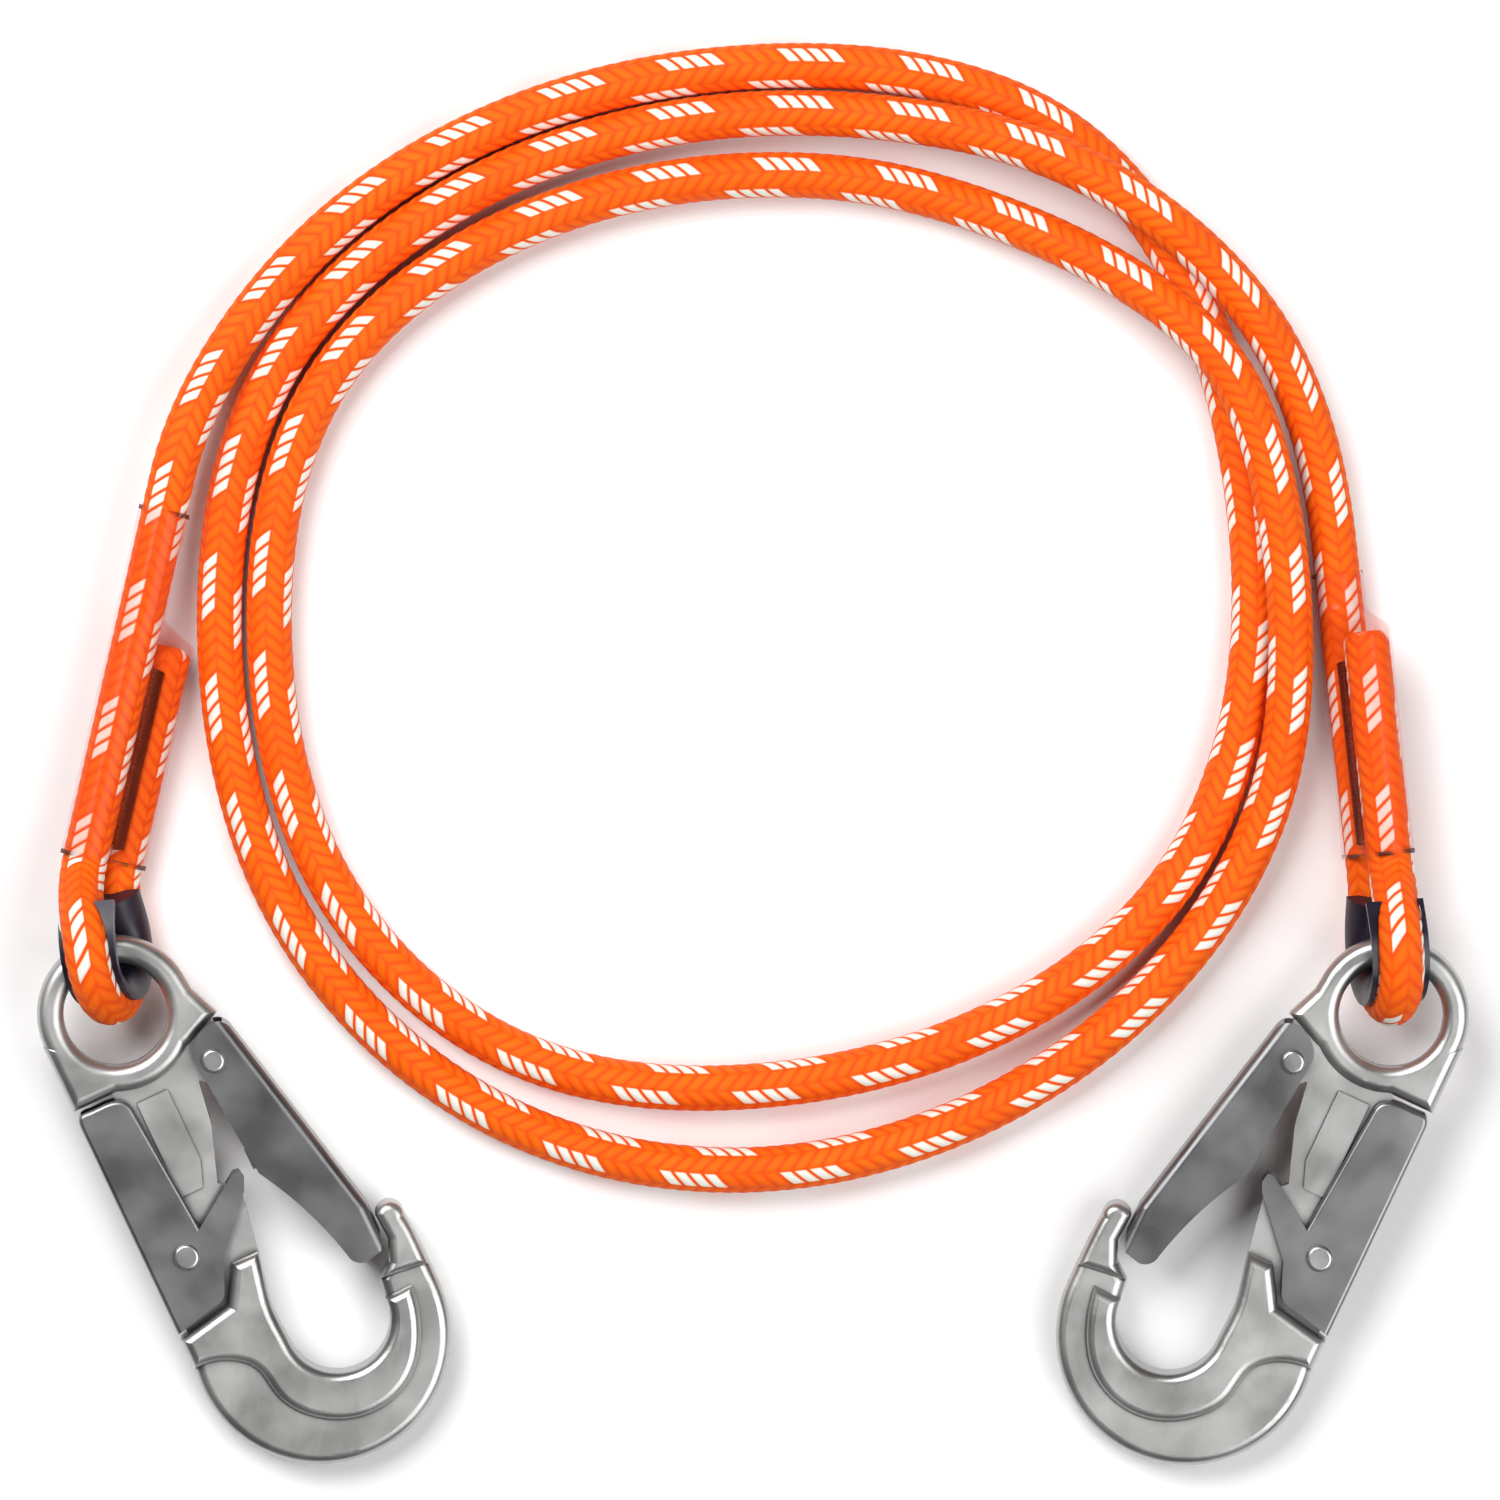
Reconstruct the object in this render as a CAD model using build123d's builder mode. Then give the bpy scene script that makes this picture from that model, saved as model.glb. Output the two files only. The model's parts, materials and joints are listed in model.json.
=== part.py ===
"""Rope lanyard with two double-action snap hooks, laid on the floor in two and a half turns.

Units are millimetres, +Z is up and z = 0 is the floor.
The origin lies on the floor under the middle of the whole lanyard.
Both ends carry the same hook. The left hook is the right one turned over.
"""
import os
from math import asin, cos, degrees, radians, sin

from build123d import *

os.makedirs("parts", exist_ok=True)

# ---------------------------------------------------------------- rope
ROPE_D = 10.5
ROPE_R = ROPE_D / 2
NEST_GAP = 0.05  # between layers that lie inside one another
COIL_CENTRE = Vector(0.8, 27.7)
COIL_LEAD = 9.0  # straight rope on leaving a sleeve
COIL_SPANS = 12

# ---------------------------------------------------------------- sewn rope ends
FILM = 0.6  # shrink sleeve
LEG_SPACING = ROPE_D + 0.1  # between the two rope legs in the sleeve
FLEX_GAP = 0.15  # between the coil's end and the ball it bends around
SLEEVE_START = 7.0  # from the flex point
SLEEVE_TAPER = 6.0  # where the film closes over the rope's cut tail
EYE_ARC_R = 12.2  # rope centreline around the hook's eye bar
LINER = 1.4  # thimble wall
THIMBLE_RISE = 12.0  # straight flanks above the eye bar
THIMBLE_PINCH = 3.5  # how far each flank draws in at its end
STITCH_LENGTH = 42.0
STITCH_WIDTH = 2.6
STITCH_T = 1.4
STITCH_END = 3.0  # from the last stitch to the sleeve's foot

# ---------------------------------------------------------------- springs in the hook
SPRING_V = -27.0  # lever spring, below the eye centre
SPRING_R = 1.7
SPRING_SEAT = 5.4
SPRING_GAP = 0.15  # between a spring's end and its seat
SPRING_POCKET = 0.8  # around the spring in the web
LEVER_WIRE_R = 0.35
LEVER_TURNS = 6
GATE_WIRE_R = 0.45
GATE_COIL_R = 3.2
GATE_TURNS = 1.25
GATE_ARM = 2.5
WIRE_GAP = 0.1  # between turns of the gate spring
SPRING_STANDOFF = 0.2  # from the web to the gate spring

# ---------------------------------------------------------------- snap hook
EYE_HEIGHT = 16.0  # eye centre above the floor
EYE_HOLE_R = 11.75
EYE_RING_R = 17.75
EYE_BAR_R = (EYE_HOLE_R + EYE_RING_R) / 2
EYE_T = 7.6
EYE_ROUND = 2.4
WEB_T = 4.5
PANEL_T = 5.8
FLANGE_T = 8.0
FLANGE_ROUND = 2.4
BEAD_T = 12.0
BEAD_ROUND = 2.2
NOSE_T = 11.0
NOSE_ROUND = 2.0
SHEET = 1.2  # gate and lever
GATE_BEND = 2.2  # outer radius along the gate's fold
LEVER_BEND = 1.0
LEVER_GAP = 6.8  # between the lever's cheeks
GATE_GAP = 9.8  # between the gate's cheeks
RIVET_R = 2.0
RIVET_CLEARANCE = 0.05
HEAD_H = 1.2
HEAD_ROUND = 0.8
GATE_HEAD_R = 2.75
LEVER_HEAD_R = 3.0
GATE_BOSS_R = 5.6  # web around the gate's rivet
GATE_PIVOT = Vector(-15.7, -18.6)
LEVER_PIVOT = Vector(8.8, -56.7)
BOWL_CENTRE = Vector(-16, -84.3)
BOWL_R = 12.0
BOWL_BACK = Vector(-11, -86)  # centre of the bowl's outer round
BOWL_BACK_R = 29.5
BEAD_BOTTOM = -107.0
NOSE_OUT = (-39.9, -69.0)  # blunt round tip of the nose
NOSE_TOP = (-37.2, -64.6)
NOSE_IN = (-33.9, -66.2)
SPINE = 18.0
HOOK_LEAN = 25.0  # hook axis from the Y axis, seen from above
# The bowl rests on the floor, so the hook leans down from its eye.
HOOK_TILT = degrees(asin((EYE_HEIGHT - BEAD_T / 2) / -BEAD_BOTTOM))


class RopeEnd:
    """Where one sewn rope end lies. Side is -1 for the left end and 1 for the right."""

    def __init__(self, name, side, eye, flex, slope, sleeve_roll, loop_lean, loop_roll, main, step, foot):
        self.name = name
        self.side = side
        self.main = main  # 1 when the long rope is the front leg, -1 when it is the back leg
        self.step = step  # from the flex point to the cut tail
        self.foot = foot  # from the flex point to the sleeve's foot
        up = Vector(0, 0, 1)

        # hook frame: x to the spine, y to the top of the eye, z through the hook
        lean = radians(HOOK_LEAN)
        tilt = radians(HOOK_TILT)
        self.eye = Vector(eye[0], eye[1], EYE_HEIGHT)
        flat = Vector(side * sin(lean), cos(lean), 0)
        hook_x = Vector(side * cos(lean), -sin(lean), 0)
        hook_y = flat * cos(tilt) + up * sin(tilt)
        self.hook = Plane(self.eye, x_dir=hook_x, z_dir=hook_x.cross(hook_y))

        # sleeve: runs from the flex point down to the eye
        slope = radians(slope)
        roll = radians(sleeve_roll)
        self.up_rope = Vector(-side * sin(slope), cos(slope), 0)
        outward = Vector(side * cos(slope), sin(slope), 0)
        self.across = outward * cos(roll) + up * sin(roll)
        back_height = ROPE_R + NEST_GAP + FILM
        front_height = back_height + LEG_SPACING * sin(roll)
        height = front_height if main > 0 else back_height
        self.flex = Vector(flex[0], flex[1], height)

        # rope eye: an arc around the hook's eye bar
        lean = radians(loop_lean)
        roll = radians(loop_roll)
        sideways = Vector(side * cos(lean), -sin(lean), 0)
        rise = Vector(side * sin(lean), cos(lean), 0)
        through = self.hook.z_dir
        self.loop_up = (rise - through * rise.dot(through)).normalized()
        above = sideways.cross(self.loop_up) * side
        self.loop_across = (sideways * cos(roll) + above * sin(roll)).normalized()
        self.bar = self.eye + self.loop_up * EYE_BAR_R

    def leg(self, distance, which):
        """Centre of a leg: distance from the flex point, which is 1 main, 0 middle, -1 tail."""
        offset = (which - 1) / 2 * LEG_SPACING * self.main
        return self.flex - self.up_rope * distance + self.across * offset

    def cross_section(self, distance, which=0):
        """Plane across the sleeve with x from the back leg to the front leg."""
        return Plane(self.leg(distance, which), x_dir=self.across, z_dir=-self.up_rope)


LEFT = RopeEnd("left", -1, (-145.2, -56.9), (-132.6, 64.0), 12.8, 44, 8, 72, main=1, step=37, foot=88)
RIGHT = RopeEnd("right", 1, (143.6, -57.2), (131.1, 50.0), 6.2, 65, -3, 78, main=-1, step=21, foot=72.5)
ENDS = (LEFT, RIGHT)

# Coil stations: angle (degrees, going clockwise), radius, lift above the floor.
# The inner turn passes under the two outer ones at the upper right.
OUTER_TOP = [(150, 137.3, 3.6), (135, 134.8, 0.7), (120, 131.9, 0.1), (105, 130.1, 0), (90, 130.3, 0),
             (75, 133.0, 0), (60, 134.6, 0), (45, 129.2, 0)]
INNER_TURN = [(30, 121.2, 0), (15, 115.0, 0), (0, 112.0, 0), (-30, 108.8, 0), (-60, 102.0, 0),
              (-90, 101.3, 0), (-120, 108.8, 0), (-150, 112.0, 0), (-180, 111.5, 0), (-210, 114.6, 0)]
MIDDLE_TURN = [(-240, 108.6, 0), (-270, 105.7, 0), (-285, 107.3, 0.3), (-300, 110.4, 2.4),
               (-315, 116.4, 7.5), (-330, 122.4, 11.2), (-345, 121.2, 9.4), (-360, 120.3, 7.2),
               (-375, 121.3, 3.3), (-390, 120.6, 0.4), (-405, 119.2, 0), (-420, 118.4, 0),
               (-450, 120.3, 0), (-480, 123.4, 0), (-510, 124.0, 0), (-540, 122.8, 0)]
LAST_TURN = [(-570, 126.0, 0), (-585, 123.7, 0), (-600, 121.0, 0), (-615, 119.3, 0), (-630, 119.6, 0.4),
             (-645, 122.3, 3.6), (-660, 127.6, 9.4), (-675, 132.0, 11.4), (-690, 134.8, 4.4)]


def coil_point(angle, radius, lift):
    """A station of the coil as a point in space."""
    turn = radians(angle)
    return COIL_CENTRE + Vector(radius * cos(turn), radius * sin(turn), ROPE_R + lift)


def coil_path():
    """Rope centreline between the two flex points."""
    setback = ROPE_R + FLEX_GAP
    start = LEFT.flex + LEFT.up_rope * setback
    end = RIGHT.flex + RIGHT.up_rope * setback
    stations = OUTER_TOP + INNER_TURN + MIDDLE_TURN + LAST_TURN
    points = [start, start + LEFT.up_rope * COIL_LEAD]
    points += [coil_point(*station) for station in stations]
    points += [end + RIGHT.up_rope * COIL_LEAD, end]
    with BuildLine() as path:
        Spline(*points)
    return path.edges()[0]


def coil_rope():
    """The coiled rope between the two rope ends, swept span by span so that it stays round."""
    path = coil_path()
    with BuildPart() as rope:
        for number in range(COIL_SPANS):
            span = path.trim(number / COIL_SPANS, (number + 1) / COIL_SPANS)
            with BuildSketch(Plane(span @ 0, z_dir=span % 0)):
                Circle(ROPE_R)
            sweep(path=span, clean=False)
    return rope.part


def eye_path(end):
    """Rope centreline from the main leg, around the hook's eye bar, to the cut tail."""
    down = -end.up_rope
    main_foot = end.leg(end.foot, 1)
    tail_foot = end.leg(end.foot, -1)
    main_side = end.bar + end.loop_across * EYE_ARC_R * end.main
    tail_side = end.bar - end.loop_across * EYE_ARC_R * end.main
    bottom = end.bar - end.loop_up * EYE_ARC_R
    with BuildLine() as path:
        Line(end.flex, main_foot)
        Spline(main_foot, main_side, tangents=[down, -end.loop_up])
        ThreePointArc(main_side, bottom, tail_side)
        Spline(tail_side, tail_foot, tangents=[end.loop_up, -down])
        Line(tail_foot, end.leg(end.step, -1))
    return path.line


def cord(end, radius):
    """A round cord along the rope eye's centreline."""
    path = eye_path(end)
    with BuildPart() as round_cord:
        with BuildSketch(Plane(path @ 0, z_dir=path % 0)):
            Circle(radius)
        sweep(path=path)
    return round_cord.part


def eye_rope(end):
    """Rope of one sewn end, with a round start that turns at the flex point."""
    with BuildPart() as rope:
        add(cord(end, ROPE_R))
        with Locations(end.flex):
            Sphere(ROPE_R)
    return rope.part


def thimble_shell():
    """Drop-shaped channel around the inside of a rope eye, drawn flat in the XY plane."""
    flank = EYE_ARC_R - THIMBLE_PINCH
    with BuildLine() as drop:
        Spline((-flank, THIMBLE_RISE), (-EYE_ARC_R, 0), tangents=[(-0.4, -1), (0, -1)])
        ThreePointArc((-EYE_ARC_R, 0), (0, -EYE_ARC_R), (EYE_ARC_R, 0))
        Spline((EYE_ARC_R, 0), (flank, THIMBLE_RISE), tangents=[(0, 1), (-0.4, 1)])
    path = drop.line
    with BuildPart() as shell:
        with BuildSketch(Plane(path @ 0, z_dir=path % 0)):
            Circle(ROPE_R + LINER)
        sweep(path=path)
        with BuildSketch():
            with BuildLine():
                add(path)
                Line(path @ 1, path @ 0)
            make_face()
        extrude(amount=ROPE_D, both=True, mode=Mode.INTERSECT)
    return shell.part


def thimble(end):
    """Plastic liner on the inside of the rope eye."""
    flat = Plane(end.bar, x_dir=end.loop_across, z_dir=end.loop_across.cross(end.loop_up))
    shell = flat.location * thimble_shell()
    with BuildPart() as liner:
        add(shell)
        add(cord(end, ROPE_R + 2 * NEST_GAP), mode=Mode.SUBTRACT)
    return liner.part.solids().sort_by(SortBy.VOLUME)[-1]


def sleeve_shape(end, radius, margin):
    """The sleeve's inside or outside: one rope, then a taper over the cut tail, then two legs."""
    tail_side = -end.main
    taper_start = end.step - SLEEVE_TAPER
    narrow = 0.4
    with BuildPart() as shape:
        with BuildSketch(end.cross_section(SLEEVE_START - margin, 1)):
            Circle(radius)
        extrude(amount=taper_start - SLEEVE_START + margin)
        with BuildSketch(end.cross_section(taper_start, 1)):
            with Locations((tail_side * narrow / 2, 0)):
                SlotCenterToCenter(narrow, 2 * radius)
        with BuildSketch(end.cross_section(end.step, 1)):
            with Locations((tail_side * LEG_SPACING / 2, 0)):
                SlotCenterToCenter(LEG_SPACING, 2 * radius)
        loft()
        with BuildSketch(end.cross_section(end.step)):
            SlotCenterToCenter(LEG_SPACING, 2 * radius)
        extrude(amount=end.foot - end.step + margin)
    return shape.part


def sleeve(end):
    """Clear heat-shrink film over the sewn part of the rope."""
    inner = sleeve_shape(end, ROPE_R + NEST_GAP, 1.0)
    with BuildPart() as film:
        add(sleeve_shape(end, ROPE_R + NEST_GAP + FILM, 0))
        add(inner, mode=Mode.SUBTRACT)
    return film.part


def stitching(end):
    """Two rows of sewing thread in the valleys between the rope's legs."""
    valley = ROPE_R * 0.8
    start = end.foot - STITCH_LENGTH - STITCH_END
    with BuildPart() as rows:
        with BuildSketch(end.cross_section(start)):
            with Locations((0, valley), (0, -valley)):
                Rectangle(STITCH_WIDTH, STITCH_T)
        extrude(amount=STITCH_LENGTH)
    return rows.part


def bowl_outline():
    """Outer and inner edge of the hook's bowl, nose and lower limb."""
    with BuildLine() as line:
        Polyline((-6.3, -62.5), (0, -62.5), (5, -70.8), (SPINE, -73.3), (SPINE, -80.6))
        ThreePointArc((SPINE, -80.6), (BOWL_BACK.X, BOWL_BACK.Y - BOWL_BACK_R), (-40.5, -86))
        Spline((-40.5, -86), NOSE_OUT, tangents=[(0, 1), (0.15, 1)])
        ThreePointArc(NOSE_OUT, NOSE_TOP, NOSE_IN)
        Polyline(NOSE_IN, (-34.3, -72.5), (-32.2, -77.2), (-28.6, -80), (-28, -84.3))
        ThreePointArc((-28, -84.3), (BOWL_CENTRE.X, BOWL_CENTRE.Y - BOWL_R), (-4, -84.3))
        Spline((-4, -84.3), (-3.8, -76), (-6.3, -62.5), tangents=[(0, 1), (-0.15, 1)])
    return line.line


def bowl():
    """Thinner outer flange of the bowl, up to the nose."""
    with BuildPart() as flange:
        with BuildSketch():
            add(bowl_outline())
            make_face()
        extrude(amount=FLANGE_T / 2, both=True)
        fillet(flange.faces().sort_by(Axis.Z)[-1].edges(), FLANGE_ROUND)
        fillet(flange.faces().sort_by(Axis.Z)[0].edges(), FLANGE_ROUND)
    return flange.part


def bead():
    """Thick inner bead of the bowl and lower limb."""
    with BuildPart() as thick:
        with BuildSketch():
            with BuildLine():
                Polyline((-6.3, -62.5), (0, -62.5), (5, -70.8), (SPINE, -73.3), (SPINE, -80.8))
                Spline((SPINE, -80.8), (11, -82), (5.6, -86.5), (3.9, -94), (-1.5, -102),
                       (-14, BEAD_BOTTOM), (-26, -103), (-32.4, -94), (-34.8, -84))
                Line((-34.8, -84), (-28, -84.3))
                ThreePointArc((-28, -84.3), (BOWL_CENTRE.X, BOWL_CENTRE.Y - BOWL_R), (-4, -84.3))
                Spline((-4, -84.3), (-3.8, -76), (-6.3, -62.5), tangents=[(0, 1), (-0.15, 1)])
            make_face()
        extrude(amount=BEAD_T / 2, both=True)
        fillet(thick.faces().sort_by(Axis.Z)[-1].edges(), BEAD_ROUND)
        fillet(thick.faces().sort_by(Axis.Z)[0].edges(), BEAD_ROUND)
    return thick.part


def nose():
    """Widened nose that covers the gate's tip."""
    with BuildPart() as tip:
        with BuildSketch():
            with BuildLine():
                Spline((-40.3, -81.5), NOSE_OUT, tangents=[(0.02, 1), (0.15, 1)])
                ThreePointArc(NOSE_OUT, NOSE_TOP, NOSE_IN)
                Polyline(NOSE_IN, (-34.3, -72.5), (-32.2, -77.2), (-28.6, -80), (-40.3, -81.5))
            make_face()
        extrude(amount=NOSE_T / 2, both=True)
        fillet(tip.faces().sort_by(Axis.Z)[-1].edges(), NOSE_ROUND)
        fillet(tip.faces().sort_by(Axis.Z)[0].edges(), NOSE_ROUND)
    return tip.part


def eye_block():
    """Ring for the rope eye with the shoulders below it."""
    with BuildPart() as block:
        with BuildSketch():
            Circle(EYE_RING_R)
            with BuildLine():
                Polyline((-17.6, 2), (-18, -2), (-21, -9.3), (-12.5, -13.2), (4, -16.2),
                         (SPINE, -16.2), (SPINE, 0), (0, 2), (-17.6, 2))
            make_face()
            Circle(EYE_HOLE_R, mode=Mode.SUBTRACT)
        extrude(amount=EYE_T / 2, both=True)
        fillet(block.faces().sort_by(Axis.Z)[-1].edges(), EYE_ROUND)
        fillet(block.faces().sort_by(Axis.Z)[0].edges(), EYE_ROUND)
    return block.part


def web():
    """Thin web that carries both rivets and ends in the post behind the lever's arm."""
    with BuildPart() as plate:
        with BuildSketch():
            Polygon((-19, -8), (-19.5, -14), (-10.6, -22), (-9, -32), (-4.6, -44.6), (-8.8, -48.3),
                    (-6.3, -62.5), (-5, -68), (5, -76), (16, -76), (16, -57), (8.4, -18), (7, -8),
                    align=None)
            with Locations(GATE_PIVOT):
                Circle(GATE_BOSS_R)
        extrude(amount=WEB_T / 2, both=True)
        with BuildSketch():
            Polygon((-3.4, -20.5), (4.2, -20.5), (4.2, -44), (-1.2, -44), (-3.4, -38), align=None)
        extrude(amount=PANEL_T / 2, both=True)
    return plate.part


def hook_body():
    """Forged body: eye, web, spine, bowl and nose in one piece."""
    hole = RIVET_R + RIVET_CLEARANCE
    with BuildPart() as body:
        add(eye_block())
        add(web())
        add(bowl())
        add(bead())
        add(nose())
        Cylinder(EYE_HOLE_R, WEB_T, mode=Mode.SUBTRACT)
        with Locations(GATE_PIVOT, LEVER_PIVOT):
            Cylinder(hole, 2 * BEAD_T, mode=Mode.SUBTRACT)
        with Locations((SPRING_SEAT + SPINE / 2, SPRING_V)):
            Box(SPINE, 2 * (SPRING_R + SPRING_POCKET), 2 * BEAD_T, mode=Mode.SUBTRACT)
    return body.part


def gate_cheeks():
    """Side view of the gate."""
    with BuildLine() as line:
        Polyline((-22.4, -13.5), (-33.3, -63), (-33.3, -70), (-31.8, -74), (-28, -74.9))
        ThreePointArc((-28, -74.9), (-25.6, -74), (-24.4, -71.5))
        Spline((-24.4, -71.5), (-22.2, -63.7), (-14.2, -46.2))
        Line((-14.2, -46.2), (-11.8, -16.5))
        Spline((-11.8, -16.5), (-14, -12.6), (-20, -10.9), (-22.4, -13.5))
    return line.line


def gate():
    """Gate bent from sheet to a channel that is open to the inside of the hook."""
    inner = GATE_GAP / 2
    with BuildPart() as channel:
        with BuildSketch():
            add(gate_cheeks())
            make_face()
        extrude(amount=inner + SHEET, both=True)
        edges = channel.edges().filter_by(Axis.Z, reverse=True)
        outer = edges.filter_by_position(Axis.X, -34, -27).filter_by_position(Axis.Y, -67, -30)
        fillet(outer, GATE_BEND)
        with BuildSketch():
            Polygon((-20.4, -8), (-32.05, -63), (-32.05, -69.8), (-30.9, -73.3), (-20, -73.3),
                    (-4, -46), (-4, -8), align=None)
        extrude(amount=inner, both=True, mode=Mode.SUBTRACT)
        lug_layer = (LEVER_GAP / 2 + inner) / 2
        with Locations((-15, -42.5, lug_layer), (-15, -42.5, -lug_layer)):
            Box(3.2, 5, inner - LEVER_GAP / 2)
        with Locations(GATE_PIVOT):
            Cylinder(RIVET_R + RIVET_CLEARANCE, 2 * BEAD_T, mode=Mode.SUBTRACT)
    return channel.part


def lever_cheeks():
    """Side view of the lock lever with its latch arm."""
    with BuildLine() as line:
        Polyline((3.2, -52), (3.5, -47), (5.5, -21))
        Spline((5.5, -21), (8, -17.8), (15, -17.3), (SPINE, -20.5), tangents=[(0.1, 1), (0, -1)])
        Line((SPINE, -20.5), (SPINE, -72))
        Line((SPINE, -72), (6.4, -69.4))
        Spline((6.4, -69.4), (3.7, -66), (1.8, -61), tangents=[(-1, 0.3), (-0.3, 1)])
        Polyline((1.8, -61), (-9.4, -48.6), (-10.4, -46.4), (-10, -44.2), (-8.6, -44), (3.2, -52))
    return line.line


def lock_lever():
    """Lock lever: a sheet channel over the spine whose arm stops the gate."""
    inner = LEVER_GAP / 2
    with BuildPart() as channel:
        with BuildSketch():
            add(lever_cheeks())
            make_face()
        extrude(amount=inner + SHEET, both=True)
        edges = channel.edges().filter_by(Axis.Z, reverse=True)
        fillet(edges.filter_by_position(Axis.X, SPINE - 0.1, SPINE + 0.1), LEVER_BEND)
        with BuildSketch():
            Polygon((SPINE - SHEET, -10), (SPINE - SHEET, -80), (-20, -80), (-20, -10), align=None)
        extrude(amount=inner, both=True, mode=Mode.SUBTRACT)
        with Locations(LEVER_PIVOT):
            Cylinder(RIVET_R + RIVET_CLEARANCE, 2 * BEAD_T, mode=Mode.SUBTRACT)
    return channel.part


def rivet(pivot, cheek, head_r):
    """Rivet with a domed head on each side. Cheek is the half width it clamps."""
    seat = cheek + RIVET_CLEARANCE
    with BuildPart() as pin:
        with Locations(pivot):
            Cylinder(RIVET_R, 2 * seat)
        with Locations((pivot.X, pivot.Y, seat + HEAD_H / 2), (pivot.X, pivot.Y, -seat - HEAD_H / 2)):
            Cylinder(head_r, HEAD_H)
        fillet(pin.faces().sort_by(Axis.Z)[-1].edges(), HEAD_ROUND)
        fillet(pin.faces().sort_by(Axis.Z)[0].edges(), HEAD_ROUND)
    return pin.part


def lever_spring():
    """Compression spring between the web and the lever's back."""
    start = SPRING_SEAT + LEVER_WIRE_R + SPRING_GAP
    length = SPINE - SHEET - LEVER_WIRE_R - SPRING_GAP - start
    with BuildLine() as wire:
        Helix(length / LEVER_TURNS, length, SPRING_R, center=(start, SPRING_V, 0), direction=(1, 0, 0))
    path = wire.line
    with BuildPart() as spring:
        with BuildSketch(Plane(path @ 0, z_dir=path % 0)):
            Circle(LEVER_WIRE_R)
        sweep(path=path)
    return spring.part


def gate_spring():
    """Torsion spring around the gate's rivet with one arm on the gate and one on the web."""
    pitch = 2 * GATE_WIRE_R + WIRE_GAP
    base = WEB_T / 2 + GATE_WIRE_R + SPRING_STANDOFF
    with BuildLine() as wire:
        Helix(pitch, pitch * GATE_TURNS, GATE_COIL_R, center=(GATE_PIVOT.X, GATE_PIVOT.Y, base))
    path = wire.line
    with BuildPart() as spring:
        with BuildSketch(Plane(path @ 0, z_dir=path % 0)):
            Circle(GATE_WIRE_R)
        sweep(path=path)
        for place, direction in ((path @ 0, -(path % 0)), (path @ 1, path % 1)):
            with BuildSketch(Plane(place, z_dir=direction)):
                Circle(GATE_WIRE_R)
            extrude(amount=GATE_ARM)
    return spring.part


def save(part, name):
    """Write one piece to its own file."""
    part.label = name
    export_step(part, f"parts/{name}.step")


save(coil_rope(), "rope_coil")

for end in ENDS:
    save(eye_rope(end), f"{end.name}_eye_rope")
    save(thimble(end), f"{end.name}_thimble")
    save(sleeve(end), f"{end.name}_shrink_sleeve")
    save(stitching(end), f"{end.name}_stitching")

gate_cheek = GATE_GAP / 2 + SHEET
lever_cheek = LEVER_GAP / 2 + SHEET
hook_parts = {
    "hook_body": hook_body(),
    "gate": gate(),
    "gate_rivet": rivet(GATE_PIVOT, gate_cheek, GATE_HEAD_R),
    "gate_spring": gate_spring(),
    "lock_lever": lock_lever(),
    "lever_rivet": rivet(LEVER_PIVOT, lever_cheek, LEVER_HEAD_R),
    "lever_spring": lever_spring(),
}
for end in ENDS:
    for piece, part in hook_parts.items():
        save(end.hook.location * part, f"{end.name}_{piece}")
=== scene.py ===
"""Looks of the rope lanyard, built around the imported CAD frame. Metres, +Z up, z = 0 is the floor."""
import json
import math

import bpy
import numpy as np
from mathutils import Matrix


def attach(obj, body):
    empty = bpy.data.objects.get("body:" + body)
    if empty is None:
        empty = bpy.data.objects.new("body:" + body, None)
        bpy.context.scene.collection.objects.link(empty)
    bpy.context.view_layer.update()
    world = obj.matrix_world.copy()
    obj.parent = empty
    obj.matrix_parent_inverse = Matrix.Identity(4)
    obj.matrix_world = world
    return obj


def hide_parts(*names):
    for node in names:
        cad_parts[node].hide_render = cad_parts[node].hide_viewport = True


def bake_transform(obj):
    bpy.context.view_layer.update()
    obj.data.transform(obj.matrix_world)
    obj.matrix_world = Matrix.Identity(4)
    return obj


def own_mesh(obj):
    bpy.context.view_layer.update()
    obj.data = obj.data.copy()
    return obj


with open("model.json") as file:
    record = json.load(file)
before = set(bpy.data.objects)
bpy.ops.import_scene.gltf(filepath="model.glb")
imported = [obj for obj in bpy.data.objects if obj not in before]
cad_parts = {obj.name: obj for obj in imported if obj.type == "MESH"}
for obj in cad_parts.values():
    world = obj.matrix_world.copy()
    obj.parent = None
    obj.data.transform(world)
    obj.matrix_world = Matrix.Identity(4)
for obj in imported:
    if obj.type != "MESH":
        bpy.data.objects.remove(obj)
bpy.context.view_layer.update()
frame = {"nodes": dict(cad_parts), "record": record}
record = frame["record"]
joints = {joint["name"]: joint for joint in record["behaviour"]["joints"]}

MM = 0.001
UP = np.array([0.0, 0.0, 1.0])
rng = np.random.default_rng(7)

# ---------------------------------------------------------------- rope sizes
ROPE_R = 5.25 * MM
COIL_CENTRE = (0.8 * MM, 27.7 * MM)
LEG_SPACING = 2 * ROPE_R + 0.1 * MM
FILM = 0.6 * MM
FILM_GAP = 0.05 * MM
FILM_WRINKLE = 0.12 * MM
FILM_SIDES = 56
FILM_STEP = 1 * MM
FILM_SMOOTHING = 4  # passes over the random wrinkles
EYE_BAR_R = 14.75 * MM  # hook eye centre to the middle of its ring
EYE_ARC_R = 12.2 * MM
SLEEVE_START = 7 * MM
SLEEVE_TAPER = 6 * MM
STITCH_LENGTH = 42 * MM
STITCH_PITCH = 0.9 * MM
STITCH_END = 3 * MM  # last stitch to the foot of the legs
STITCH_REACH = 1.9 * MM  # half of a stitch's width
STITCH_RISE = 0.55 * MM  # how far a stitch arches over the valley
THREAD_R = 0.42 * MM
WIRE_SIDES = 8
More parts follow.
